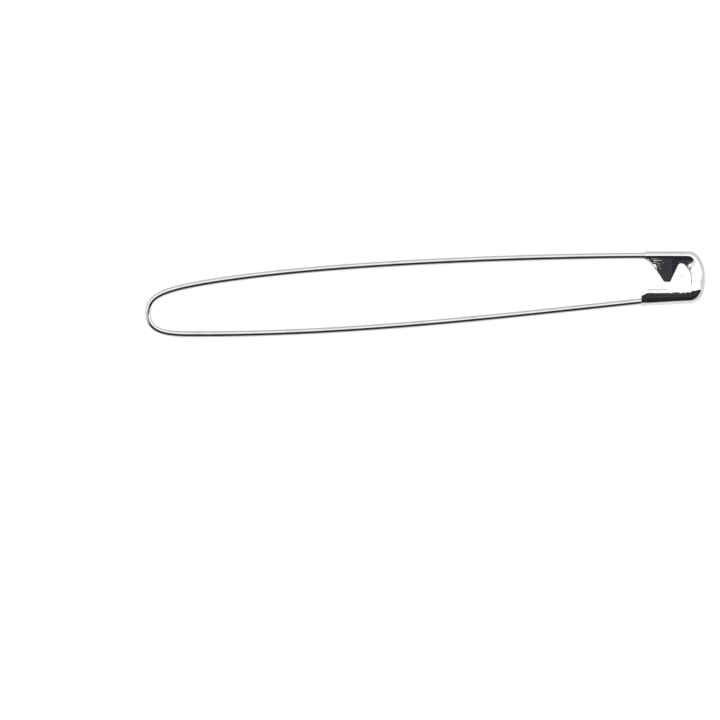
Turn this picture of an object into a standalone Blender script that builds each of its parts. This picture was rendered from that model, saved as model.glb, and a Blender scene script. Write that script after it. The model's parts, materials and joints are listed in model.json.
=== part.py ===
# Stitch holder: a long spring-wire loop that closes like a safety pin into a
# pressed sheet-metal cap. It lies flat, with +X towards the cap, +Y across the
# loop towards the fixed arm and +Z up out of the loop's plane. The origin is
# below the middle of its outline, level with the back of the cap.

import math

import bmesh
import bpy
from mathutils import Vector

# Driving sizes, in metres
holder_length = 0.165        # from the outside of the bend to the closed end of the cap
loop_spread = 0.0231         # from the fixed arm's line to the lowest run of the needle arm
wire_diameter = 0.0017
sheet_thickness = 0.0003
cap_length = 0.0188          # along the wires, lip included
cap_height = 0.01606         # across both wires
cap_slant = 0.0011           # how far the roll's open end stands back from the lip's
flange_crest = 0.0026        # from the cap's edge in to the flange's highest line
lip_crest_level = 0.00394    # from the cap's lowest point up to the lip's highest line
roll_reach = 0.00337         # from the cap's edge in to the free edge of each rim
flange_reach = 0.00398
lip_reach = 0.00486
tongue_reach = 0.00895       # from the cap's top edge down to the tongue's tip
tongue_tip_gap = 0.00045     # from the back's inside up to the tongue's tip
back_round = 0.0009          # outer radius where the back turns into the rims
crest_ease = 0.0003          # rounding along each crest
sheared_edge = 0.00005       # bevel along the sheet's cut edges
wire_clearance = 0.00015     # between the wire and the cap's back and top edge
roll_headroom = 0.00025      # between the wire and the roll above it
flange_headroom = 0.00035    # height over the wire under the flange
lip_headroom = 0.00125       # height over the needle under the lip, for it to slip out
roll_overhang = 0.00005      # from the wire's centre line on to the roll's crest
wire_end_gap = 0.0004        # from the fixed arm's dome back to where the corner starts
piece_gap = 0.0003           # between wire pieces that meet end to end
needle_seat = 0.00018        # from the lip's inner fold to the needle at the open end
needle_point = 0.0050        # length of the ground point
needle_flange_gap = 0.0007   # from the needle's tip to the flange's free edge
swing_radius = 0.015         # of the round that the tip makes: in, over the lip and out
weld_distance = 0.00001

# Counts
arm_steps = 40
bend_steps = 16
point_steps = 6
dome_steps = 4
fan_steps = 30
fillet_steps = 5
curve_steps = 10
corner_steps = 3
rise_steps = 8
front_steps = 5
ring_resolution = 4

# Slopes of the front sheet inwards of its crest, as rise over run
flange_slope = 0.10
lip_slope = 0.20

# Least turn between two faces that makes an edge a sheared one
sheared_turn = math.radians(55)

wire_radius = wire_diameter / 2
wire_level = sheet_thickness + wire_clearance + wire_radius
top_edge = (wire_level + loop_spread + wire_radius) / 2
cap_left = holder_length / 2 - cap_length
cap_bottom = top_edge - cap_height
fixed_line = top_edge - wire_level
low_line = fixed_line - loop_spread
needle_entry = cap_bottom + sheet_thickness + needle_seat + wire_radius
bend_left = wire_radius - holder_length / 2
arm_span = cap_left - bend_left
needle_in_cap = cap_length - flange_reach - needle_flange_gap
roll_crest = wire_level + roll_overhang
roll_depth = wire_level + wire_radius + roll_headroom + sheet_thickness
flange_depth = wire_level + wire_radius + flange_headroom + sheet_thickness
lip_depth = wire_level + wire_radius + lip_headroom + sheet_thickness
tongue_run = tongue_reach - roll_crest
tongue_drop = roll_depth - tongue_tip_gap - 2 * sheet_thickness
roll_slope = tongue_drop * (tongue_run + crest_ease) / tongue_run**2

# Bezier control points of the wire's centre line. Along X a share of the run
# from the bend to the cap. Across it a share of the rise from the lowest run to
# the fixed arm's line, or for the needle arm to where it enters the cap.
fixed_arm_shares = [(1.0, 1.0), (0.868, 1.0), (0.446, 0.944), (0.179, 0.716)]
shoulder_shares = [(0.179, 0.716), (0.032, 0.590), (0.0, 0.506), (0.0, 0.276)]
return_shares = [(0.0, 0.276), (0.0, -0.011), (0.050, 0.0), (0.105, 0.0)]
needle_arm_shares = [(0.105, 0.0), (0.420, 0.0), (0.734, 0.578), (1.0, 1.0)]

# Outer outline of the cap as shares of its length and height: a straight top,
# a long curve down the closed end in two Bezier runs, and a straight bottom.
top_corner_shares = [(0.746, 1.0), (0.895, 1.0), (1.0, 0.767), (1.0, 0.501)]
low_corner_shares = [(1.0, 0.501), (1.0, 0.226), (0.911, 0.051), (0.754, 0.044)]

# Places along the cap, as shares of its length
tongue_root_share = 0.215
tongue_left_share = 0.361
tongue_right_share = 0.455
window_left_share = 0.595
window_right_share = 0.660
lip_top_share = 0.111
lip_side_share = 0.012
hub_share = 0.666

# Heights in the cap, as shares of its height
roll_end_share = 0.895
tongue_root_height_share = 0.713
window_side_height_share = 0.610
lip_side_height_share = 0.205
lip_foot_share = 0.170
spine_share = 0.528

# Fillet radii of the front edge, as shares of the cap's height
root_fillet_share = 0.110
tip_fillet_share = 0.045
arch_fillet_share = 0.139
side_fillet_share = 0.200
corner_fillet_share = 0.110
lip_fillet_share = 0.030

# Other shares
needle_tip_share = 0.14      # radius left at the needle's tip, of the wire's
rim_rise_share = 0.8         # most of a rim's reach that its rise takes
fillet_side_share = 0.49     # most that a fillet takes of a side
outline_tolerance_share = 1e-6


def clear_scene():
    for old in list(bpy.data.objects):
        bpy.data.objects.remove(old, do_unlink=True)


def make_collection(name):
    group = bpy.data.collections.new(name)
    bpy.context.scene.collection.children.link(group)
    return group


def make_material(name, colour, roughness):
    material = bpy.data.materials.new(name)
    material.use_nodes = True
    shader = material.node_tree.nodes["Principled BSDF"]
    shader.inputs["Base Color"].default_value = (*colour, 1.0)
    shader.inputs["Metallic"].default_value = 1.0
    shader.inputs["Roughness"].default_value = roughness
    material.diffuse_color = (*colour, 1.0)
    return material


def bezier(controls, steps):
    """Points along one cubic Bezier run, both ends included."""
    a, b, c, d = [Vector(p) for p in controls]
    points = []
    for i in range(steps + 1):
        t = i / steps
        s = 1 - t
        points.append(a * s**3 + b * 3 * s * s * t + c * 3 * s * t * t + d * t**3)
    return points


def route(shares, height, steps):
    """A wire's centre line in the loop's plane, from shares of its run and rise."""
    flat = [(bend_left + u * arm_span, low_line + v * height) for u, v in shares]
    return [Vector((p.x, p.y, wire_level)) for p in bezier(flat, steps)]


def trim(points, length):
    """The same line with this much taken off its start."""
    while (points[1] - points[0]).length < length:
        length -= (points[1] - points[0]).length
        points = points[1:]
    first = points[0] + (points[1] - points[0]).normalized() * length
    return [first] + points[1:]


def make_wire(name, points, radii, origin, material, group):
    """A round wire along the points, with its own origin and filled ends."""
    data = bpy.data.curves.new(name, "CURVE")
    data.dimensions = "3D"
    data.twist_mode = "Z_UP"
    data.bevel_depth = wire_radius
    data.bevel_resolution = ring_resolution
    data.use_fill_caps = True
    spline = data.splines.new("POLY")
    spline.points.add(len(points) - 1)
    for knot, point, radius in zip(spline.points, points, radii):
        knot.co = (*(point - origin), 1.0)
        knot.radius = radius
    spline.use_smooth = True
    data.materials.append(material)
    wire = bpy.data.objects.new(name, data)
    wire.location = origin
    group.objects.link(wire)
    return wire


def rounded_end(points, length, steps):
    """Adds points over the last stretch of a line, and the radius shares of a domed end."""
    direction = (points[-1] - points[-2]).normalized()
    start = points[-1]
    radii = [1.0] * len(points)
    for i in range(1, steps + 1):
        angle = 0.5 * math.pi * i / (steps + 1)
        points.append(start + direction * length * math.sin(angle))
        radii.append(math.cos(angle))
    return points, radii


def fixed_arm(material, group):
    """The upper arm, from beside the bend into the cap's roll, with a domed end."""
    line = route(fixed_arm_shares, loop_spread, arm_steps)
    line.reverse()
    line = trim(line, piece_gap)
    corner = cap_left + top_corner_shares[0][0] * cap_length
    line.append(Vector((corner - wire_end_gap, fixed_line, wire_level)))
    line, radii = rounded_end(line, wire_radius, dome_steps)
    return make_wire("fixed_arm", line, radii, line[0].copy(), material, group)


def spring_bend(material, group):
    """The bend that joins the arms and gives the spring."""
    shoulder = route(shoulder_shares, loop_spread, bend_steps)
    back = route(return_shares, loop_spread, bend_steps)
    line = shoulder + back[1:]
    return make_wire("spring_bend", line, [1.0] * len(line), back[0].copy(), material, group)


def needle_arm(material, group):
    """The arm that opens, carried by an empty whose local X is the joint's axis."""
    line = route(needle_arm_shares, needle_entry - low_line, arm_steps)
    pivot = line[0].copy()
    direction = (line[-1] - line[-2]).normalized()
    entry = line[-1]
    line = trim(line, piece_gap)
    shaft = needle_in_cap - needle_point
    line.append(entry + direction * shaft)
    radii = [1.0] * len(line)
    for i in range(1, point_steps + 1):
        share = i / point_steps
        line.append(entry + direction * (shaft + needle_point * share))
        radii.append(1.0 - (1.0 - needle_tip_share) * share * math.sqrt(share))
    needle = make_wire("needle_arm", line, radii, pivot, material, group)
    tip = entry + direction * needle_in_cap
    hinge = bpy.data.objects.new("needle_hinge", None)
    hinge.location = pivot
    axis = tip + Vector((0.0, 0.0, swing_radius)) - pivot
    hinge.rotation_euler = axis.to_track_quat("X", "Z").to_euler()
    group.objects.link(hinge)
    bpy.context.view_layer.update()
    needle.parent = hinge
    needle.matrix_parent_inverse = hinge.matrix_world.inverted()
    return needle


def on_cap(u, v):
    """A point in the cap's plane from shares of its length and height."""
    return Vector((cap_left + u * cap_length, cap_bottom + v * cap_height))


def outer_outline():
    """The cap's outline from the roll's open end round to the lip's open end."""
    start = Vector((cap_left + cap_slant, top_edge))
    top = bezier([on_cap(u, v) for u, v in top_corner_shares], curve_steps)
    low = bezier([on_cap(u, v) for u, v in low_corner_shares], curve_steps)
    return [start] + top + low[1:] + [on_cap(0.0, 0.0)]


def fillet(before, corner, after, radius):
    """Points of an arc that rounds one corner of an outline."""
    if radius == 0.0:
        return [corner]
    back = (before - corner).normalized()
    forth = (after - corner).normalized()
    half = 0.5 * back.angle(forth)
    reach = radius / math.tan(half)
    side = min((before - corner).length, (after - corner).length)
    reach = min(reach, fillet_side_share * side)
    radius = reach * math.tan(half)
    centre = corner + (back + forth).normalized() * radius / math.sin(half)
    first = corner + back * reach - centre
    last = corner + forth * reach - centre
    turn = first.angle_signed(last)
    points = []
    for i in range(fillet_steps + 1):
        angle = -turn * i / fillet_steps
        spin = Vector((
            first.x * math.cos(angle) - first.y * math.sin(angle),
            first.x * math.sin(angle) + first.y * math.cos(angle),
        ))
        points.append(centre + spin)
    return points


def front_edge():
    """The free edge of the front sheet: roll, tongue, arch, flange and lip."""
    roll_level = top_edge - roll_reach
    tip_level = top_edge - tongue_reach
    flange_line = cap_left + cap_length - flange_reach
    lip_level = cap_bottom + lip_reach
    corners = [
        (Vector((cap_left + cap_slant, on_cap(0.0, roll_end_share).y)), 0.0),
        (on_cap(tongue_root_share, tongue_root_height_share), root_fillet_share),
        (Vector((on_cap(tongue_left_share, 0.0).x, tip_level)), tip_fillet_share),
        (Vector((on_cap(tongue_right_share, 0.0).x, tip_level)), tip_fillet_share),
        (Vector((on_cap(window_left_share, 0.0).x, roll_level)), arch_fillet_share),
        (Vector((on_cap(window_right_share, 0.0).x, roll_level)), arch_fillet_share),
        (Vector((flange_line, on_cap(0.0, window_side_height_share).y)), side_fillet_share),
        (Vector((flange_line, lip_level)), corner_fillet_share),
        (Vector((on_cap(lip_top_share, 0.0).x, lip_level)), lip_fillet_share),
        (on_cap(lip_side_share, lip_side_height_share), lip_fillet_share),
        (on_cap(0.0, lip_foot_share), 0.0),
    ]
    points = []
    for i, (corner, share) in enumerate(corners):
        before = corners[max(i - 1, 0)][0]
        after = corners[min(i + 1, len(corners) - 1)][0]
        points += fillet(before, corner, after, share * cap_height)
    return points


def cast(start, direction, outline):
    """Where a ray from start first meets an outline, both in the cap's plane."""
    best = None
    for a, b in zip(outline, outline[1:]):
        edge = b - a
        cross = direction.x * edge.y - direction.y * edge.x
        if cross == 0.0:
            continue
        gap = a - start
        along = (gap.x * edge.y - gap.y * edge.x) / cross
        share = (gap.x * direction.y - gap.y * direction.x) / cross
        inside = abs(share - 0.5) <= 0.5 + outline_tolerance_share
        if along > 0.0 and inside and (best is None or along < best):
            best = along
    return start + direction * best


def stations():
    """Outer, inner and back points of each section of the cap, and which rim it cuts."""
    outline = outer_outline()
    edge = front_edge()
    spine_level = on_cap(0.0, spine_share).y
    hub = Vector((on_cap(hub_share, 0.0).x, spine_level))
    upper_edge = []
    for point in edge:
        if point.x >= hub.x:
            break
        upper_edge.append(point)
    up = Vector((0.0, 1.0))
    found = []
    spine = []
    for point in upper_edge:
        along = (point.x - upper_edge[0].x) / (hub.x - upper_edge[0].x)
        back = Vector((point.x - 0.5 * cap_slant * (1 - along), spine_level))
        spine.append((back, along))
        outer = cast(Vector((point.x, spine_level)), up, outline)
        found.append((outer, point, back, 0.0))
    for i in range(fan_steps + 1):
        angle = math.pi * (0.5 - i / fan_steps)
        ray = Vector((math.cos(angle), math.sin(angle)))
        rim = 2.0 * i / fan_steps
        found.append((cast(hub, ray, outline), cast(hub, ray, edge), hub, rim))
    for back, along in reversed(spine):
        start = Vector((back.x - 0.5 * cap_slant * (1 - along), spine_level))
        if start.x > edge[-1].x:
            outer = cast(start, -up, outline)
            found.append((outer, cast(outer, up, edge), back, 2.0))
        else:
            found.append((outline[-1], edge[-1], back, 2.0))
    return found


def between(rim, at_roll, at_flange, at_lip):
    """A size that changes round the cap, from the roll by the flange to the lip."""
    low, high = (at_roll, at_flange) if rim < 1.0 else (at_flange, at_lip)
    share = rim if rim < 1.0 else rim - 1.0
    share = share * share * (3 - 2 * share)
    return low + (high - low) * share


def section(outer, inner, back, rim):
    """Outside points of the sheet in one section, from the back's middle to its free edge."""
    lip_crest = max(cap_bottom + lip_crest_level - outer.y, flange_crest)
    depth = between(rim, roll_depth, flange_depth, lip_depth)
    crest = between(rim, roll_crest, flange_crest, lip_crest)
    slope = between(rim, roll_slope, flange_slope, lip_slope)
    reach = (inner - outer).length
    rise = min(crest, rim_rise_share * reach)
    top = math.acos(1.0 - rise / crest)
    to_back = (back - outer).normalized()
    to_inner = (inner - outer).normalized()
    points = [Vector((back.x, back.y, 0.0))]
    for i in range(corner_steps + 1):
        angle = 0.5 * math.pi * (1 - i / corner_steps)
        flat = outer + to_back * back_round * (1 - math.cos(angle))
        points.append(Vector((flat.x, flat.y, back_round * (1 - math.sin(angle)))))
    for i in range(1, rise_steps + 1):
        angle = top * i / rise_steps
        flat = outer + to_inner * crest * (1 - math.cos(angle))
        height = back_round + (depth - back_round) * math.sin(angle)
        points.append(Vector((flat.x, flat.y, height)))
    for i in range(1, front_steps + 1):
        place = rise + (reach - rise) * i / front_steps
        flat = outer + to_inner * place
        if place < crest:
            height = back_round + (depth - back_round) * math.sqrt(1 - (1 - place / crest)**2)
        else:
            run = place - crest
            height = depth - slope * run * run / (run + crest_ease)
        points.append(Vector((flat.x, flat.y, height)))
    return points


def cap(material, group):
    """The pressed cap: an open sheet lofted through its sections, then thickened inwards."""
    mesh = bpy.data.meshes.new("cap")
    corner = Vector((cap_left, cap_bottom, 0.0))
    sheet = bmesh.new()
    rows = []
    for outer, inner, back, rim in stations():
        points = section(outer, inner, back, rim)
        rows.append([sheet.verts.new(point - corner) for point in points])
    for row, following in zip(rows, rows[1:]):
        for j in range(len(row) - 1):
            sheet.faces.new((row[j], following[j], following[j + 1], row[j + 1]))
    bmesh.ops.remove_doubles(sheet, verts=sheet.verts, dist=weld_distance)
    bmesh.ops.recalc_face_normals(sheet, faces=sheet.faces)
    lowest = min(sheet.faces, key=lambda face: face.calc_center_median().z)
    if lowest.normal.z > 0:
        bmesh.ops.reverse_faces(sheet, faces=sheet.faces)
    sheet.to_mesh(mesh)
    sheet.free()
    mesh.materials.append(material)
    mesh.shade_smooth()
    body = bpy.data.objects.new("cap", mesh)
    body.location = corner
    group.objects.link(body)
    shell = body.modifiers.new("sheet", "SOLIDIFY")
    shell.thickness = sheet_thickness
    shell.offset = -1.0
    shell.use_even_offset = True
    edges = body.modifiers.new("sheared_edges", "BEVEL")
    edges.width = sheared_edge
    edges.segments = 1
    edges.limit_method = "ANGLE"
    edges.angle_limit = sheared_turn
    return body


def main():
    clear_scene()
    group = make_collection("stitch_holder")
    wire_finish = make_material("plated_wire", (0.80, 0.80, 0.79), 0.12)
    cap_finish = make_material("plated_sheet", (0.78, 0.78, 0.79), 0.16)
    point_finish = make_material("polished_needle", (0.82, 0.82, 0.81), 0.10)
    bend_finish = make_material("plated_bend", (0.79, 0.79, 0.78), 0.13)
    cap(cap_finish, group)
    fixed_arm(wire_finish, group)
    spring_bend(bend_finish, group)
    needle_arm(point_finish, group)


main()
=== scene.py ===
import json
import math

import bmesh
import bpy
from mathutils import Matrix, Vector, noise


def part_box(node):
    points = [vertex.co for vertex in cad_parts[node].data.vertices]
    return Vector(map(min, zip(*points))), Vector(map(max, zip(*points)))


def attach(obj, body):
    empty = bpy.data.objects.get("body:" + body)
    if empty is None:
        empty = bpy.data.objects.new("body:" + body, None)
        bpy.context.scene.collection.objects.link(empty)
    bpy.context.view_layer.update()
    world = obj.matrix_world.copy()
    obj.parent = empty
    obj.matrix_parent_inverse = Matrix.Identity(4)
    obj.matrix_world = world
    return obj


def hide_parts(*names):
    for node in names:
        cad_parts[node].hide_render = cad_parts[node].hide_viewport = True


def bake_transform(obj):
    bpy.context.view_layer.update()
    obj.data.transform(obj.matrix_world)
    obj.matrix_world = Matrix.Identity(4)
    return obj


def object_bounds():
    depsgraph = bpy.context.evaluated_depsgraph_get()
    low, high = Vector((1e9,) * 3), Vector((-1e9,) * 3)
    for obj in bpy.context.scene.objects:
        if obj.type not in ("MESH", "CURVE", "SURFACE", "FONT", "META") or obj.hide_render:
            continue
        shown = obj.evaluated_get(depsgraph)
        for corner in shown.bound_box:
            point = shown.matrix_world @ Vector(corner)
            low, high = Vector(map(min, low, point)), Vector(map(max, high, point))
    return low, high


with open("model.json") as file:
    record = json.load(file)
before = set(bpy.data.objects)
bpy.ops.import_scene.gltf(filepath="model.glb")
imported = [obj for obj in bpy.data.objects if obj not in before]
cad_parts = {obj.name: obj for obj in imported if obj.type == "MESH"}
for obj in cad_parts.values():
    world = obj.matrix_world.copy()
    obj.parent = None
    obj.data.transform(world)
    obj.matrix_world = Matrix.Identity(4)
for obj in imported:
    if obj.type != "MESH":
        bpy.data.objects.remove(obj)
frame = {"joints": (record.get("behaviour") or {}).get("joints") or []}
cadLow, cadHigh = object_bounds()

# A stitch holder: one sprung wire loop, closed like a safety pin into a pressed cap.
# +X runs to the cap, +Y to the fixed arm, +Z up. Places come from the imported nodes.

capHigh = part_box("cap")[1]
bendLow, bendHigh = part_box("spring_bend")
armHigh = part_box("fixed_arm")[1]
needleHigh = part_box("needle_arm")[1]
hinge = frame["joints"][0]

wireRadius = (bendHigh.z - bendLow.z) / 2
wireLevel = (bendHigh.z + bendLow.z) / 2
fixedLine = armHigh.y - wireRadius  # centre of the fixed arm where it runs into the cap
lowLine = bendLow.y + wireRadius    # centre of the needle arm at its lowest
bendLeft = bendLow.x + wireRadius   # centre of the wire at the bend's far left


# Shader maths: sums on a node's output become Math nodes

class Flow:
    def __init__(self, tree, socket):
        self.tree = tree
        self.socket = socket

    def out(self, name):  # another output of the same node
        return Flow(self.tree, self.socket.node.outputs[name])

    def sum(self, operation, a, b=0.0):
        return self.tree.add("ShaderNodeMath", {"operation": operation}, {0: a, 1: b})

    def __add__(self, other):
        return self.sum("ADD", self, other)

    def __radd__(self, other):
        return self.sum("ADD", other, self)

    def __sub__(self, other):
        return self.sum("SUBTRACT", self, other)

    def __rsub__(self, other):
        return self.sum("SUBTRACT", other, self)

    def __mul__(self, other):
        return self.sum("MULTIPLY", self, other)

    def __rmul__(self, other):
        return self.sum("MULTIPLY", other, self)

    def __abs__(self):
        return self.sum("ABSOLUTE", self)


class Nodes:
    def __init__(self, owner):
        owner.use_nodes = True
        self.tree = owner.node_tree
        self.tree.nodes.clear()

    def add(self, kind, settings=None, inputs=None, output=0):
        node = self.tree.nodes.new(kind)
        for name, value in (settings or {}).items():
            setattr(node, name, value)
        for name, value in (inputs or {}).items():
            if isinstance(value, Flow):
                self.tree.links.new(value.socket, node.inputs[name])
            else:
                node.inputs[name].default_value = value
        return Flow(self, node.outputs[output]) if node.outputs else None

    def ease(self, value, start, end):  # 0 before start, 1 past end, smooth between
        return self.add("ShaderNodeMapRange", {"interpolation_type": "SMOOTHSTEP"}, {
            "Value": value, "From Min": start, "From Max": end})

    def stretch(self, place, scale):
        return self.add("ShaderNodeVectorMath", {"operation": "MULTIPLY"}, {0: place, 1: scale})

    def grain(self, place, scale, detail=2.0, rough=0.5):
        return self.add("ShaderNodeTexNoise", {}, {
            "Vector": self.stretch(place, scale), "Scale": 1.0,
            "Detail": detail, "Roughness": rough})

    def blend(self, factor, a, b):  # two colours
        mixed = self.add("ShaderNodeMix", {"data_type": "RGBA"}, {0: factor, 6: a, 7: b})
        return Flow(self, mixed.socket.node.outputs[2])

    def bump(self, height, distance, inputs=None):
        return self.add("ShaderNodeBump", {}, {
            "Height": height, "Strength": 1.0, "Distance": distance, **(inputs or {})}, "Normal")


def colour(rgb):
    return (*rgb, 1.0)


# Finishes

plating = {
    # where in the noise the clouds of wear and the hairlines start and are full
    "clouds": (0.42, 0.72),
    "cloudDetail": 3.0,
    "hairlines": (0.52, 0.74),
    "hairlineDetail": 4.0,
    "hairlineGrain": 0.65,
}
wireNickel = {
    "bright": (0.74, 0.735, 0.725),   # plated and polished
    "dull": (0.66, 0.655, 0.645),     # handled and slightly clouded
    "roughness": 0.05,
    "cloudRoughness": 0.025,          # added where it is clouded
    "scratchRoughness": 0.025,        # added in the hairlines
    "cloudScale": (260.0, 260.0, 260.0),
    "hairlineScale": (90.0, 5200.0, 5200.0),
    "scratchDepth": 0.0000010,
    "pebbleScale": (300.0, 900.0, 900.0),
    "pebbleDepth": 0.0000012,
    "lean": 0.0,
}
sheetNickel = {
    "bright": (0.86, 0.855, 0.85),
    "dull": (0.78, 0.775, 0.77),
    "roughness": 0.05,
    "cloudRoughness": 0.07,
    "scratchRoughness": 0.20,
    "cloudScale": (420.0, 900.0, 900.0),
    "hairlineScale": (500.0, 3200.0, 2600.0),
    "scratchDepth": 0.0000022,
    "pebbleScale": (350.0, 900.0, 900.0),
    "pebbleDepth": 0.0000035,
    "lean": 0.055,                    # how far its faces lean towards +Y
}


def plated(name, place, settings):
    # bright nickel on steel: clouds of wear, hairlines and faint orange peel
    material = bpy.data.materials.new(name)
    nodes = Nodes(material)
    where = place(nodes)
    cloud = nodes.grain(where, settings["cloudScale"], plating["cloudDetail"])
    cloud = nodes.ease(cloud, *plating["clouds"])
    hair = nodes.grain(
        where, settings["hairlineScale"], plating["hairlineDetail"], plating["hairlineGrain"])
    hair = nodes.ease(hair, *plating["hairlines"])
    skin = nodes.blend(cloud, colour(settings["bright"]), colour(settings["dull"]))
    rough = settings["roughness"] + cloud * settings["cloudRoughness"]
    rough = rough + hair * settings["scratchRoughness"]
    across = nodes.add("ShaderNodeSeparateXYZ", {}, {0: where}).out("Y")
    peel = nodes.grain(where, settings["pebbleScale"])
    peel = peel - across * (settings["lean"] / settings["pebbleDepth"])
    dents = nodes.bump(peel, settings["pebbleDepth"])
    lines = nodes.bump(hair, settings["scratchDepth"], {"Normal": dents})
    shader = nodes.add("ShaderNodeBsdfPrincipled", {}, {
        "Base Color": skin, "Metallic": 1.0, "Roughness": rough, "Normal": lines})
    nodes.add("ShaderNodeOutputMaterial", {}, {"Surface": shader})
    return material


def alongWire(nodes):
    return nodes.add("ShaderNodeAttribute", {"attribute_name": "wirePlace"}, {}, "Vector")


def inSpace(nodes):
    return nodes.add("ShaderNodeTexCoord", {}, {}, "Object")


shearedSteel = {
    "pale": (0.56, 0.43, 0.31),
    "brown": (0.28, 0.18, 0.10),
    "roughness": 0.32,
    "stainRoughness": 0.2,            # added in the stains
    "scale": (900.0, 900.0, 2600.0),
    "detail": 3.0,
    "stains": (0.35, 0.65),           # where in the noise they start and are full
    "tearDepth": 0.00002,
}


def sheared(settings):
    # the sheet's cut edge: torn, unplated and lightly tarnished
    material = bpy.data.materials.new("sheared_edge")
    nodes = Nodes(material)
    tear = nodes.grain(inSpace(nodes), settings["scale"], settings["detail"])
    stain = nodes.ease(tear, *settings["stains"])
    skin = nodes.blend(stain, colour(settings["pale"]), colour(settings["brown"]))
    rough = settings["roughness"] + stain * settings["stainRoughness"]
    torn = nodes.bump(tear, settings["tearDepth"])
    shader = nodes.add("ShaderNodeBsdfPrincipled", {}, {
        "Base Color": skin, "Metallic": 1.0, "Roughness": rough, "Normal": torn})
    nodes.add("ShaderNodeOutputMaterial", {}, {"Surface": shader})
    return material


# Curves

def bezier(controls, steps):
    a, b, c, d = [Vector(p) for p in controls]
    points = []
    for i in range(steps + 1):
        t = i / steps
        s = 1 - t
        points.append(a * s**3 + b * 3 * s * s * t + c * 3 * s * t * t + d * t**3)
    return points


def smooth(share):
    share = min(max(share, 0.0), 1.0)
    return share * share * (3 - 2 * share)


def grow(value, start, length):  # 0 before start, 1 a length past it
    return smooth((value - start) / length)


def fade(value, end, length):    # 1 until a length before end, 0 past end
    return smooth((end - value) / length)


def ramp(value, size, start, length):
    return size * grow(value, start, length)


def mixed(first, second, share):  # each number of two settings of the same kind
    return [a + (b - a) * share for a, b in zip(first, second)]


# The cap: a row of sections, each from the flat back round its edge to the free edge of
# the front. The rim that a section cuts is 0 at the roll, 1 at the flange and 2 at the
# lip, and runs from one to the next round the closed end.

cap = {
    "length": 0.0188,
    "height": 0.01606,
    "slant": 0.0011,          # the roll's open end stands back from the lip's
    "sheet": 0.0003,
    "cutBevel": 0.00004,
    "cutSegments": 2,
    "sharpTurn": 55.0,        # degrees between two faces at a cut edge

    # outline, as shares of the length and height, and the hub that sections fan from
    "topCorner": [(0.746, 1.0), (0.895, 1.0), (1.0, 0.767), (1.0, 0.501)],
    "lowCorner": [(1.0, 0.501), (1.0, 0.226), (0.911, 0.051), (0.754, 0.044)],
    "hub": (0.666, 0.528),

    # free edge: how far it lies from the top, the closed end and the bottom
    "rollReach": 0.00337,
    "tongueReach": 0.00895,
    "flangeReach": 0.00398,
    "lipReach": 0.00486,
    # its other places along the cap and across it, as shares of the length and height
    "rollEnd": 0.895,
    "tongueRoot": (0.215, 0.713),
    "tongueTip": (0.361, 0.455),
    "archTop": (0.595, 0.660),
    "archFoot": 0.610,
    "lipTop": 0.111,
    "lipSide": (0.012, 0.205),
    "lipFoot": 0.170,
    # fillets of its corners, as shares of the height
    "rootFillet": 0.110,
    "tipFillet": 0.045,
    "archFillet": 0.139,
    "footFillet": 0.200,
    "flangeFillet": 0.110,
    "lipFillet": 0.030,
    "filletSide": 0.49,       # most that a fillet takes of a side

    # back: how round its edge is, and the flat band inside that
    "backRound": 0.0009,
    "backBand": 0.0003,
    # depth over the back, place of the crest and inward slope at roll, flange and lip
    "depths": (0.0027, 0.0028, 0.0037),
    "crests": (0.0013, 0.0026, 0.0026),
    "slopes": (0.2265, 0.03, 0.20),
    "riseShape": (0.5, 0.5, 0.68),  # 0.5 rises as an ellipse, 1 as a parabola
    "riseMost": 0.8,          # most of a section that its rise takes
    "crestEase": 0.0003,      # how gradually the slope starts past the crest
    # the rim where each starts to come in, or has gone out, and over what length
    "flangeDepthIn": (0.0, 0.8),
    "lipDepthIn": (0.75, 0.75),
    "lipSlopeIn": (1.0, 1.0),
    "lipCrestIn": (1.0, 0.55),
    "rollOut": (0.53, 0.16),
    # the lip's crest: its level over the cap's lowest point, how far it drops at the
    # open end, how far it climbs at the closed end, from where and over what length
    "lipCrestLevel": 0.00394,
    "lipCrestDrop": (0.0008, 0.0019),
    "lipCrestClimb": (0.0008, 0.0125, 0.0050),
    "lipRounds": 4,           # passes that settle where a section meets that level
    "leastRise": 0.0012,      # least width of the rise there
    "leastInward": 0.3,       # least y that a section's direction counts with
    # how far the roll drops just past its crest and over what width, left and right,
    # and where the first turns into the second
    "rollStep": [(0.00030, 0.0009), (0.00048, 0.0015)],
    "rollSteepens": (0.0085, 0.003),
    # the ridge over the wire's end comes down this far below the top, and its foot
    # sinks a little and then climbs: how far, from where and over what length
    "ridgeFoot": 0.0037,
    "ridgeSink": (0.0002, 0.0136, 0.0010),
    "ridgeClimb": (0.0003, 0.0154, 0.0005),
    "ridgeEase": 0.00015,
    "ridgeIn": (0.0, 0.1),
    "ridgeOut": (1.4, 0.4),

    # how far the free edge turns down and over what width, and where along the cap or
    # round the rim that comes in and goes out: along the arch
    "archCurl": (0.00060, 0.00120),
    "archCurlIn": (0.0, 0.12),
    "archCurlOut": (0.54, 0.2),
    # along the lip's left half
    "lipCurl": (0.00020, 0.00060),
    "lipCurlRim": (1.9, 0.1),
    "lipCurlIn": (0.0015, 0.0005),
    "lipCurlOut": (0.0079, 0.0008),
    # and along the tongue's left side, where it turns up, a little at first
    "tongueCurl": [(-0.00008, 0.00042), (-0.00040, 0.00130)],
    "tongueCurlGrows": (0.0034, 0.0008),
    "tongueCurlIn": (0.0013, 0.0006),
    "tongueCurlOut": (0.0048, 0.0006),

    "edgeStep": 0.00018,
    "outlineSteps": 40,
    "fanSteps": 150,
    "filletSteps": 12,
    "cornerSteps": 5,
    "riseSteps": 26,
    "frontSteps": 60,
    "castSlack": 1e-6,        # how far past its ends a ray still meets an edge
    "weld": 0.000005,
}
capLeft = capHigh.x - cap["length"]
capBottom = capHigh.y - cap["height"]


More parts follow.
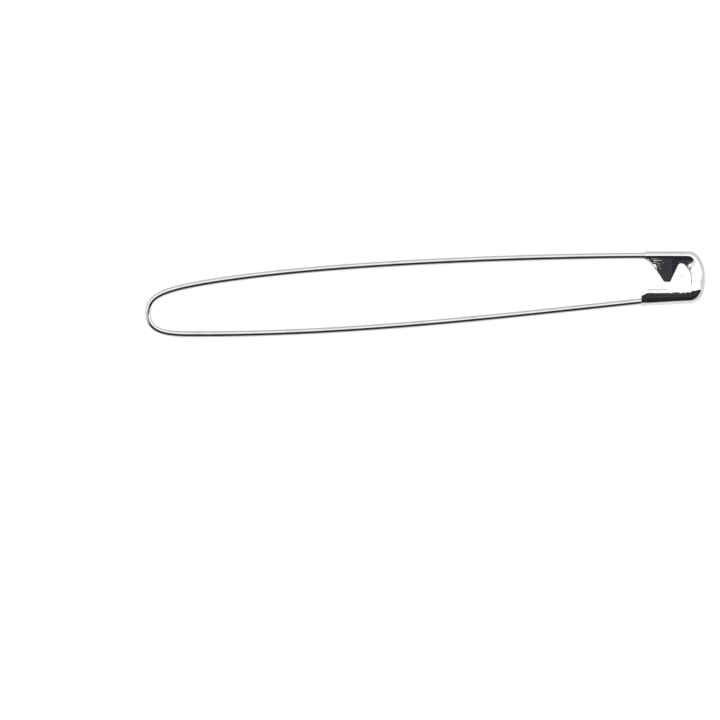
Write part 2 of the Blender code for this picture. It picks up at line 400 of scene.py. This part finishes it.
def onCap(u, v):
    return Vector((capLeft + u * cap["length"], capBottom + v * cap["height"]))


def fillet(before, corner, after, radius):
    if radius == 0.0:
        return [corner]
    back = (before - corner).normalized()
    forth = (after - corner).normalized()
    half = 0.5 * back.angle(forth)
    side = min((before - corner).length, (after - corner).length)
    reach = min(radius / math.tan(half), cap["filletSide"] * side)
    radius = reach * math.tan(half)
    centre = corner + (back + forth).normalized() * radius / math.sin(half)
    first = corner + back * reach - centre
    turn = first.angle_signed(corner + forth * reach - centre)
    points = []
    for i in range(cap["filletSteps"] + 1):
        angle = -turn * i / cap["filletSteps"]
        points.append(centre + Vector((
            first.x * math.cos(angle) - first.y * math.sin(angle),
            first.x * math.sin(angle) + first.y * math.cos(angle))))
    return points


def outerOutline():
    top = bezier([onCap(u, v) for u, v in cap["topCorner"]], cap["outlineSteps"])
    low = bezier([onCap(u, v) for u, v in cap["lowCorner"]], cap["outlineSteps"])
    return [Vector((capLeft + cap["slant"], capHigh.y))] + top + low[1:] + [onCap(0.0, 0.0)]


def edgeCorners():
    # corners of the front's free edge, from the roll round to the lip, with their fillets
    rollLevel = capHigh.y - cap["rollReach"]
    tipLevel = capHigh.y - cap["tongueReach"]
    flangeLine = capHigh.x - cap["flangeReach"]
    lipLevel = capBottom + cap["lipReach"]
    tipLeft, tipRight = [onCap(u, 0.0).x for u in cap["tongueTip"]]
    archLeft, archRight = [onCap(u, 0.0).x for u in cap["archTop"]]
    corners = [
        (capLeft + cap["slant"], onCap(0.0, cap["rollEnd"]).y, 0.0),
        (*onCap(*cap["tongueRoot"]), cap["rootFillet"]),
        (tipLeft, tipLevel, cap["tipFillet"]),
        (tipRight, tipLevel, cap["tipFillet"]),
        (archLeft, rollLevel, cap["archFillet"]),
        (archRight, rollLevel, cap["archFillet"]),
        (flangeLine, onCap(0.0, cap["archFoot"]).y, cap["footFillet"]),
        (flangeLine, lipLevel, cap["flangeFillet"]),
        (onCap(cap["lipTop"], 0.0).x, lipLevel, cap["lipFillet"]),
        (*onCap(*cap["lipSide"]), cap["lipFillet"]),
        (*onCap(0.0, cap["lipFoot"]), 0.0),
    ]
    return [(Vector((x, y)), share * cap["height"]) for x, y, share in corners]


def frontEdge():
    corners = edgeCorners()
    rough = []
    for i, (corner, radius) in enumerate(corners):
        before = corners[max(i - 1, 0)][0]
        after = corners[min(i + 1, len(corners) - 1)][0]
        rough += fillet(before, corner, after, radius)
    points = [rough[0]]
    for point in rough[1:]:
        last = points[-1]
        pieces = max(1, math.ceil((point - last).length / cap["edgeStep"]))
        points += [last.lerp(point, i / pieces) for i in range(1, pieces + 1)]
    return points


def cast(start, direction, outline):
    # the nearest point of an outline that a ray meets
    best = None
    slack = cap["castSlack"]
    for a, b in zip(outline, outline[1:]):
        edge = b - a
        cross = direction.x * edge.y - direction.y * edge.x
        if cross == 0.0:
            continue
        gap = a - start
        along = (gap.x * edge.y - gap.y * edge.x) / cross
        share = (gap.x * direction.y - gap.y * direction.x) / cross
        met = along > 0.0 and -slack <= share <= 1 + slack
        if met and (best is None or along < best):
            best = along
    return start + direction * best


def capStations():
    # outer and inner point of each section, and the rim that it cuts
    outline = outerOutline()
    edge = frontEdge()
    hub = onCap(*cap["hub"])
    up = Vector((0.0, 1.0))
    firstLow = next(i for i, p in enumerate(edge)
                    if p.x < hub.x and p.y < hub.y and i > len(edge) / 2)
    found = []
    for point in edge:
        if point.x >= hub.x:
            break
        found.append((cast(Vector((point.x, hub.y)), up, outline), point, 0.0))
    for i in range(cap["fanSteps"] + 1):
        angle = math.pi * (0.5 - i / cap["fanSteps"])
        ray = Vector((math.cos(angle), math.sin(angle)))
        found.append((cast(hub, ray, outline), cast(hub, ray, edge), 2.0 * i / cap["fanSteps"]))
    for point in edge[firstLow:-1]:
        found.append((cast(Vector((point.x, hub.y)), -up, outline), point, 2.0))
    found.append((outline[-1], edge[-1], 2.0))
    return found


relief = {
    # small ridges left by the press on the tongue: start, end, distance from the top, height
    "ridges": [
        (0.00250, 0.00710, 0.00230, 0.000053),
        (0.00340, 0.00650, 0.00281, 0.000058),
        (0.00330, 0.00500, 0.00334, 0.000056),
        (0.00440, 0.00570, 0.00383, 0.000060),
        (0.00450, 0.00590, 0.00452, 0.000058),
        (0.00500, 0.00640, 0.00516, 0.000060),
    ],
    "ridgeWidth": 0.00016,
    "ridgeFade": 0.00050,
    # pimples: distance from the left and the top, height and width
    "pimples": [
        (0.00651, 0.00362, 0.000070, 0.00016),
        (0.00751, 0.00324, 0.000070, 0.00016),
        (0.01455, 0.00290, 0.000026, 0.00014),
    ],
    # dents along the lip's crest: from where and over what length they come in, how far
    # to each side of the crest they lie, how long they are and how deep
    "dentsIn": (0.0075, 0.0020),
    "dentSpan": 0.0010,
    "dentSize": 0.0009,
    "dentDepth": 0.000020,
}


def reliefAt(x, y):
    # height added to the front sheet
    u = x - capLeft
    v = capHigh.y - y
    height = 0.0
    for start, end, down, rise in relief["ridges"]:
        ends = smooth((u - start) / relief["ridgeFade"] + 0.5)
        ends *= smooth((end - u) / relief["ridgeFade"] + 0.5)
        height += rise * ends * math.exp(-((v - down) / relief["ridgeWidth"])**2)
    for across, down, rise, width in relief["pimples"]:
        height += rise * math.exp(-((u - across)**2 + (v - down)**2) / width**2)
    fromCrest = (y - capBottom - cap["lipCrestLevel"]) / relief["dentSpan"]
    near = grow(u, *relief["dentsIn"]) * math.exp(-fromCrest * fromCrest)
    dent = noise.noise(Vector((x, y, 0.0)) / relief["dentSize"])
    return height + relief["dentDepth"] * near * dent


def freeCurl(inner, rim):
    # how far the free edge turns down at this section, and over what width
    u = inner.x - capLeft
    if rim == 0.0:
        curl, width = mixed(*cap["tongueCurl"], grow(u, *cap["tongueCurlGrows"]))
        side = grow(u, *cap["tongueCurlIn"]) * fade(u, *cap["tongueCurlOut"])
    elif rim < 1.0:
        curl, width = cap["archCurl"]
        side = grow(rim, *cap["archCurlIn"]) * fade(rim, *cap["archCurlOut"])
    else:
        curl, width = cap["lipCurl"]
        side = grow(rim, *cap["lipCurlRim"])
        side *= grow(u, *cap["lipCurlIn"]) * fade(u, *cap["lipCurlOut"])
    return curl * side, width


def beforeFoot(run, point, inward):
    # the part of a run down from the crest that lies before the foot of the ridge
    if inward.y >= 0.0:
        return 0.0
    u = point.x - capLeft
    foot = cap["ridgeFoot"] + ramp(u, *cap["ridgeSink"]) - ramp(u, *cap["ridgeClimb"])
    past = (capHigh.y - foot - point.y) / -inward.y
    ease = cap["ridgeEase"]
    return max(0.0, run - 0.5 * (past + math.sqrt(past * past + ease * ease)))


def lipRise(outer, inward):
    # how far the lip's crest lies from the cap's edge along a section
    reach = cap["crests"][2]
    drop, length = cap["lipCrestDrop"]
    for i in range(cap["lipRounds"]):
        u = outer.x + inward.x * reach - capLeft
        level = cap["lipCrestLevel"] - drop * (1 - grow(u, 0.0, length))
        level += ramp(u, *cap["lipCrestClimb"])
        reach = (capBottom + level - outer.y) / max(inward.y, cap["leastInward"])
        reach = max(reach, cap["leastRise"])
    return reach


def between(rim, sizes):
    # from the roll's size to the flange's, and on to the lip's
    low, high = sizes[:2] if rim < 1.0 else sizes[1:]
    return low + (high - low) * smooth(rim if rim < 1.0 else rim - 1.0)


def rimDepth(rim):
    roll, flange, lip = cap["depths"]
    depth = roll + (flange - roll) * grow(rim, *cap["flangeDepthIn"])
    return depth + (lip - flange) * grow(rim, *cap["lipDepthIn"])


def rimSlope(rim, rolled):
    roll, flange, lip = cap["slopes"]
    return flange + (roll - flange) * rolled + (lip - flange) * grow(rim, *cap["lipSlopeIn"])


def capSection(outer, inner, rim):
    # points from the back's flat middle round its edge, over the crest to the free edge
    inward = (inner - outer).normalized()
    reach = (inner - outer).length
    depth = rimDepth(rim)
    crest = between(rim, cap["crests"])
    crest += (lipRise(outer, inward) - crest) * grow(rim, *cap["lipCrestIn"])
    shape = between(rim, cap["riseShape"])
    rise = min(crest, cap["riseMost"] * reach)

    # the back and its rounded edge
    base = cap["backRound"]
    flat = outer + inward * (base + cap["backBand"])
    points = [Vector((flat.x, flat.y, 0.0))]
    for i in range(cap["cornerSteps"] + 1):
        angle = 0.5 * math.pi * (1 - i / cap["cornerSteps"])
        flat = outer + inward * base * (1 - math.cos(angle))
        points.append(Vector((flat.x, flat.y, base * (1 - math.sin(angle)))))

    # up towards the crest
    climb = depth - base
    top = math.acos(1 - rise / crest)
    for i in range(1, cap["riseSteps"] + 1):
        angle = top * i / cap["riseSteps"]
        flat = outer + inward * crest * (1 - math.cos(angle))
        points.append(Vector((flat.x, flat.y, base + climb * math.sin(angle)**(2 * shape))))

    # over it and down to the free edge
    rolled = fade(rim, *cap["rollOut"])
    slope = rimSlope(rim, rolled)
    step, stepWidth = mixed(
        *cap["rollStep"], grow(outer.x - capLeft, *cap["rollSteepens"]))
    held = grow(rim, *cap["ridgeIn"]) * fade(rim, *cap["ridgeOut"])
    curl, curlWidth = freeCurl(inner, rim)
    for i in range(1, cap["frontSteps"] + 1):
        place = rise + (reach - rise) * i / cap["frontSteps"]
        flat = outer + inward * place
        run = place - crest
        if run < 0:
            height = base + climb * (1 - (run / crest)**2)**shape
        else:
            run += (beforeFoot(run, flat, inward) - run) * held
            height = depth - slope * run * run / (run + cap["crestEase"])
            height -= step * rolled * smooth(run / stepWidth)
        turned = max(0.0, 1 - (reach - place) / curlWidth)
        height += reliefAt(flat.x, flat.y) - curl * turned * turned
        points.append(Vector((flat.x, flat.y, height)))
    return points


def makeCap(finish, cutFinish):
    mesh = bpy.data.meshes.new("pressed_cap")
    work = bmesh.new()
    rows = []
    for outer, inner, rim in capStations():
        rows.append([work.verts.new(p) for p in capSection(outer, inner, rim)])
    for row, following in zip(rows, rows[1:]):
        for j in range(len(row) - 1):
            work.faces.new((row[j], following[j], following[j + 1], row[j + 1]))
    work.faces.new([row[0] for row in rows])
    bmesh.ops.remove_doubles(work, verts=work.verts, dist=cap["weld"])
    bmesh.ops.recalc_face_normals(work, faces=work.faces)
    lowest = min(work.faces, key=lambda face: face.calc_center_median().z)
    if lowest.normal.z > 0:
        bmesh.ops.reverse_faces(work, faces=work.faces)
    work.to_mesh(mesh)
    work.free()
    mesh.shade_smooth()
    mesh.materials.append(finish)
    mesh.materials.append(cutFinish)
    piece = bpy.data.objects.new("pressed_cap", mesh)
    bpy.context.scene.collection.objects.link(piece)
    shell = piece.modifiers.new("sheet", "SOLIDIFY")
    shell.thickness = cap["sheet"]
    shell.offset = -1.0
    shell.use_even_offset = True
    shell.material_offset_rim = 1
    cut = piece.modifiers.new("cut_edges", "BEVEL")
    cut.width = cap["cutBevel"]
    cut.segments = cap["cutSegments"]
    cut.limit_method = "ANGLE"
    cut.angle_limit = math.radians(cap["sharpTurn"])
    cut.harden_normals = True
    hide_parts("cap")
    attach(piece, "holder")


# The wire

wire = {
    # Bezier shares of the run from bend to cap, and of the rise between the arms
    "fixedArm": [(1.0, 1.0), (0.868, 1.0), (0.446, 0.944), (0.179, 0.716)],
    "shoulder": [(0.179, 0.716), (0.032, 0.590), (0.0, 0.500), (0.0, 0.276)],
    "return": [(0.0, 0.276), (0.0, -0.011), (0.050, 0.0), (0.105, 0.0)],
    "needleArm": [(0.105, 0.0), (0.420, 0.0), (0.734, 0.578), (1.0, 1.0)],
    "armSteps": 150,
    "bendSteps": 90,
    "sides": 40,
    # the fixed arm's end, hidden under the roll
    "hiddenSteps": 12,
    "endSteps": 10,
    "endLeast": 0.02,        # least share of its radius that the rounded end keeps
    # the needle's end
    "seat": 0.00018,         # between the needle and the lip's inner fold, where it enters
    "seatSteps": 16,
    "point": 0.0050,         # ground length at the tip
    "pointSteps": 40,
    "pointShape": 1.6,       # 1 is a straight taper, and more is fuller
    "tipRadius": 0.00009,
    "tipRound": (0.96, 0.04),  # the share of the point where its tip is rounded off
    "tipLeast": 0.0004,      # least that the rounding leaves, squared
    # how far each side of the pivot the wire bends as it opens, though nothing here reads it,
    # and how far before the pivot its two pieces meet
    "flexReach": 0.0055,
    "seamReach": 0.0065,
}
needleEntry = capBottom + cap["sheet"] + wire["seat"] + wireRadius


def wireRun(shares, rise, steps):
    run = capLeft - bendLeft
    flat = [(bendLeft + u * run, lowLine + v * rise) for u, v in shares]
    return [Vector((p.x, p.y, wireLevel)) for p in bezier(flat, steps)]


def domed(start, direction, radius, steps):
    # points past the end of a line, with the radii of a rounded end
    points = []
    radii = []
    for i in range(1, steps + 1):
        angle = 0.5 * math.pi * i / steps
        points.append(start + direction * radius * math.sin(angle))
        radii.append(radius * max(math.cos(angle), wire["endLeast"]))
    return points, radii


def pointRadius(share):
    # at a share of the way down the ground point
    start, length = wire["tipRound"]
    taper = share**wire["pointShape"]
    slender = wireRadius * (1 - taper) + wire["tipRadius"] * taper
    past = max((share - start) / length, 0.0)
    return slender * math.sqrt(max(1 - past**2, wire["tipLeast"]))


def sweep(name, points, radii, sides):
    # a round tube along points in one level plane, closed at both ends
    mesh = bpy.data.meshes.new(name)
    work = bmesh.new()
    place = work.verts.layers.float_vector.new("wirePlace")
    rings = []
    travelled = 0.0
    for i, point in enumerate(points):
        before = points[max(i - 1, 0)]
        after = points[min(i + 1, len(points) - 1)]
        direction = (after - before).normalized()
        across = Vector((-direction.y, direction.x, 0.0))
        travelled += (point - before).length
        ring = []
        for j in range(sides):
            angle = 2 * math.pi * j / sides
            outward = across * math.cos(angle) + Vector((0.0, 0.0, math.sin(angle)))
            vertex = work.verts.new(point + outward * radii[i])
            vertex[place] = (
                travelled, wireRadius * math.cos(angle), wireRadius * math.sin(angle))
            ring.append(vertex)
        rings.append(ring)
    for ring, following in zip(rings, rings[1:]):
        for j in range(sides):
            k = (j + 1) % sides
            work.faces.new((ring[j], ring[k], following[k], following[j])).smooth = True
    ends = [work.faces.new(rings[0]), work.faces.new(reversed(rings[-1]))]
    for end in ends:
        for edge in end.edges:
            edge.smooth = False
    bmesh.ops.recalc_face_normals(work, faces=work.faces)
    work.to_mesh(mesh)
    work.free()
    piece = bpy.data.objects.new(name, mesh)
    bpy.context.scene.collection.objects.link(piece)
    return piece


def makeWires(finish):
    fixed = wireRun(wire["fixedArm"], fixedLine - lowLine, wire["armSteps"])
    shoulder = wireRun(wire["shoulder"], fixedLine - lowLine, wire["bendSteps"])
    back = wireRun(wire["return"], fixedLine - lowLine, wire["bendSteps"])
    needle = wireRun(wire["needleArm"], needleEntry - lowLine, wire["armSteps"])

    pivot = Vector(hinge["pos_m"])
    seam = pivot.x - wire["seamReach"]
    loop = fixed + shoulder[1:] + back[1:]
    turn = loop.index(min(loop, key=lambda p: p.x))
    cut = next(i for i in range(turn, len(loop)) if loop[i].x > seam)

    # the fixed arm, from its domed end under the roll round the bend to the seam
    steps = wire["hiddenSteps"]
    start = Vector((armHigh.x - wireRadius, fixedLine, wireLevel))
    onward = (start - fixed[0]).normalized()
    dome, domeRadii = domed(start, onward, wireRadius, wire["endSteps"])
    hidden = [fixed[0].lerp(start, i / steps) for i in range(steps, 0, -1)]
    line = list(reversed(dome)) + hidden + loop[:cut + 1]
    radii = list(reversed(domeRadii)) + [wireRadius] * (len(line) - len(dome))
    loopPiece = sweep("wire_loop", line, radii, wire["sides"])
    loopPiece.data.materials.append(finish)
    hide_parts("fixed_arm", "spring_bend")
    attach(loopPiece, "holder")

    # the needle arm, from the seam to its ground point behind the lip
    steps = wire["seatSteps"]
    entry = needle[-1]
    onward = (needle[-1] - needle[-2]).normalized()
    tip = entry + onward * (needleHigh.x - entry.x) / onward.x
    ground = tip - onward * wire["point"]
    line = loop[cut:] + needle[1:]
    line += [entry.lerp(ground, i / steps) for i in range(1, steps + 1)]
    radii = [wireRadius] * len(line)
    for i in range(1, wire["pointSteps"] + 1):
        share = i / wire["pointSteps"]
        line.append(ground.lerp(tip, share))
        radii.append(pointRadius(share))
    needlePiece = sweep("needle_wire", line, radii, wire["sides"])
    needlePiece.data.materials.append(finish)
    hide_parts("needle_arm")
    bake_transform(needlePiece)


makeWires(plated("nickel_wire", alongWire, wireNickel))
print("wire made")

makeCap(plated("nickel_sheet", inSpace, sheetNickel), sheared(shearedSteel))
print("cap made")


# Studio. The sky is only what the metal mirrors: the x, y and z in the notes are
# those of a direction, and each pair is where something starts and is full.

studio = {
    "floorSize": 4.0,
    "floorCells": 4,
    "floorDrop": 0.00005,
    "floorColour": (0.80, 0.80, 0.80),
    "floorSeen": 1.06,                 # how bright the camera sees it
    "floorSeenShare": 0.88,            # the rest is in the room's light, with its shadows
    "floorMirrored": 0.58,             # how bright the metal sees it
    "floorMirroredShare": 0.55,
    # painted pools of light on it, which glow for the metal to mirror though no lamp is there:
    # centre, inner and outer radius, strength
    "paintedLightPools": [
        ((-0.0805, -0.0065, 0.0), 0.003, 0.009, 0.80),
        ((0.0740, -0.0090, 0.0), 0.008, 0.014, 0.45),
        ((0.0880, 0.0040, 0.0), 0.004, 0.008, 0.30),
    ],
    "skyWhite": (1.25, 1.25, 1.25),    # the wide soft light over it and on +Y
    "skyDark": (0.018, 0.017, 0.017),  # the unlit side of the room, on -Y
    "skyDusk": (0.022, 0.023, 0.034),  # the same side overhead, a little less dark
    "skyHaze": (0.072, 0.066, 0.070),  # paler things in it
    "darkFrom": -0.01,                 # the y where the dark side starts
    "darkSoftness": 0.08,
    "dusk": (0.3, 0.85),               # in z
    "haze": (0.42, 0.65),              # in the noise
    "hazeScale": (14.0, 14.0, 14.0),
    "hazeDetail": 3.0,
    # light let in at both ends of the dark side: its middle in x, how far out it is
    # full, how far it reaches back, the y that it fades between, and its share
    "asideMiddle": 0.2,
    "asideTo": 1.1,
    "asideBack": 0.45,
    "asideFade": (-0.10, 0.28),
    "asideShare": 0.72,
    # the band low down: pale on -X, mild on +X and grey on +Y
    "skyPale": (0.95, 0.95, 0.95),
    "skyMild": (0.78, 0.78, 0.78),
    "skyGrey": (0.75, 0.75, 0.75),
    "mild": (-1.0, 0.5),               # in x
    "grey": (0.0, 0.6),                # in y
    # the z where the band ends off the dark side, how much higher that is on +Y, and
    # the y over which each comes in
    "bandTop": 0.24,
    "bandTopIn": (-0.3, 0.05),
    "bandLift": 0.33,
    "bandLiftIn": (-0.1, 1.1),
    "bandSoftness": 0.08,
    "plain": 0.8,                      # the even light on what isn't mirrored
    "lampPower": 6.0,
    "lampSize": 1.0,
    "lampPlace": (-0.3, 0.9, 1.3),
}


def makeFloor():
    mesh = bpy.data.meshes.new("floor")
    work = bmesh.new()
    bmesh.ops.create_grid(
        work, x_segments=studio["floorCells"], y_segments=studio["floorCells"],
        size=studio["floorSize"] / 2)
    work.to_mesh(mesh)
    work.free()
    floor = bpy.data.objects.new("floor", mesh)
    floor.location.z = cadLow.z - studio["floorDrop"]
    bpy.context.scene.collection.objects.link(floor)
    material = bpy.data.materials.new("pale_floor")
    nodes = Nodes(material)
    path = nodes.add("ShaderNodeLightPath")
    seen = path.out("Is Camera Ray") + path.out("Is Transmission Ray")
    mirrored = path.out("Is Glossy Ray")
    where = nodes.add("ShaderNodeNewGeometry", {}, {}, "Position")
    bright = mirrored * studio["floorMirrored"]
    # painted light: each pool adds glow to the floor, seen only where the metal mirrors it
    for centre, near, far, strength in studio["paintedLightPools"]:
        away = nodes.add(
            "ShaderNodeVectorMath", {"operation": "DISTANCE"}, {0: where, 1: centre}, "Value")
        bright = bright + mirrored * (1 - nodes.ease(away, near, far)) * strength
    lit = nodes.add("ShaderNodeBsdfDiffuse", {}, {"Color": colour(studio["floorColour"])})
    glow = nodes.add("ShaderNodeEmission", {}, {
        "Color": seen * studio["floorSeen"] + bright, "Strength": 1.0})
    share = seen * studio["floorSeenShare"] + mirrored * studio["floorMirroredShare"]
    surface = nodes.add("ShaderNodeMixShader", {}, {0: share, 1: lit, 2: glow})
    nodes.add("ShaderNodeOutputMaterial", {}, {"Surface": surface})
    mesh.materials.append(material)


def makeSky(nodes):
    # what the metal mirrors of the room, by direction
    direction = nodes.add("ShaderNodeTexCoord", {}, {}, "Generated")
    parts = nodes.add("ShaderNodeSeparateXYZ", {}, {0: direction})
    x, y, z = parts.out("X"), parts.out("Y"), parts.out("Z")

    overhead = nodes.ease(y, studio["darkFrom"], studio["darkFrom"] + studio["darkSoftness"])
    outward = abs(x - studio["asideMiddle"])
    aside = nodes.ease(outward, 0.0, studio["asideTo"])
    aside = aside * nodes.ease(y + outward * studio["asideBack"], *studio["asideFade"])
    lightSide = overhead + (1 - overhead) * aside * studio["asideShare"]

    dusk = nodes.ease(z, *studio["dusk"])
    haze = nodes.grain(direction, studio["hazeScale"], studio["hazeDetail"])
    haze = nodes.ease(haze, *studio["haze"]) * dusk
    dark = nodes.blend(dusk, colour(studio["skyDark"]), colour(studio["skyDusk"]))
    dark = nodes.blend(haze, dark, colour(studio["skyHaze"]))
    upper = nodes.blend(lightSide, dark, colour(studio["skyWhite"]))

    mild = nodes.ease(x, *studio["mild"])
    band = nodes.blend(mild, colour(studio["skyPale"]), colour(studio["skyMild"]))
    band = nodes.blend(nodes.ease(y, *studio["grey"]), band, colour(studio["skyGrey"]))
    above = z - nodes.ease(y, *studio["bandTopIn"]) * studio["bandTop"]
    above = above - nodes.ease(y, *studio["bandLiftIn"]) * studio["bandLift"]
    half = studio["bandSoftness"] / 2
    return nodes.blend(nodes.ease(above, -half, half), band, upper)


def makeWorld():
    world = bpy.data.worlds.new("studio")
    bpy.context.scene.world = world
    nodes = Nodes(world)
    path = nodes.add("ShaderNodeLightPath")
    seen = path.out("Is Camera Ray") + path.out("Is Transmission Ray")
    mirrored = nodes.add("ShaderNodeBackground", {}, {"Color": makeSky(nodes), "Strength": 1.0})
    plain = nodes.add("ShaderNodeBackground", {}, {
        "Color": seen + (1 - seen) * studio["plain"], "Strength": 1.0})
    both = nodes.add("ShaderNodeMixShader", {}, {
        0: path.out("Is Glossy Ray"), 1: plain, 2: mirrored})
    nodes.add("ShaderNodeOutputWorld", {}, {"Surface": both})
    world.cycles.sampling_method = "NONE"


def makeLamp():
    lamp = bpy.data.lights.new("soft_lamp", "AREA")
    lamp.energy = studio["lampPower"]
    lamp.shape = "DISK"
    lamp.size = studio["lampSize"]
    stand = bpy.data.objects.new("soft_lamp", lamp)
    stand.location = studio["lampPlace"]
    stand.rotation_euler = Vector(studio["lampPlace"]).to_track_quat("Z", "Y").to_euler()
    stand.visible_camera = False
    stand.visible_glossy = False
    bpy.context.scene.collection.objects.link(stand)


view = {
    "lens": 600.0,
    "sensor": 36.0,
    "frame": 720,                     # pixels across the photograph
    "pixel": 0.00029464,              # metres a pixel, at the wire's level
    "centre": (-0.01918, -0.01939),   # what the photograph's centre looks at
    "clip": 10.0,                     # times nearer and farther than the holder
}


def makeCamera():
    lens = bpy.data.cameras.new("photo_camera")
    lens.lens = view["lens"]
    lens.sensor_width = view["sensor"]
    away = view["frame"] * view["pixel"] * view["lens"] / view["sensor"]
    lens.clip_start = away / view["clip"]
    lens.clip_end = away * view["clip"]
    camera = bpy.data.objects.new("photo_camera", lens)
    camera.location = (*view["centre"], wireLevel + away)
    bpy.context.scene.collection.objects.link(camera)
    bpy.context.scene.camera = camera


makeFloor()
makeWorld()
makeLamp()
makeCamera()
bpy.context.scene.view_settings.view_transform = "Standard"
print("studio made")
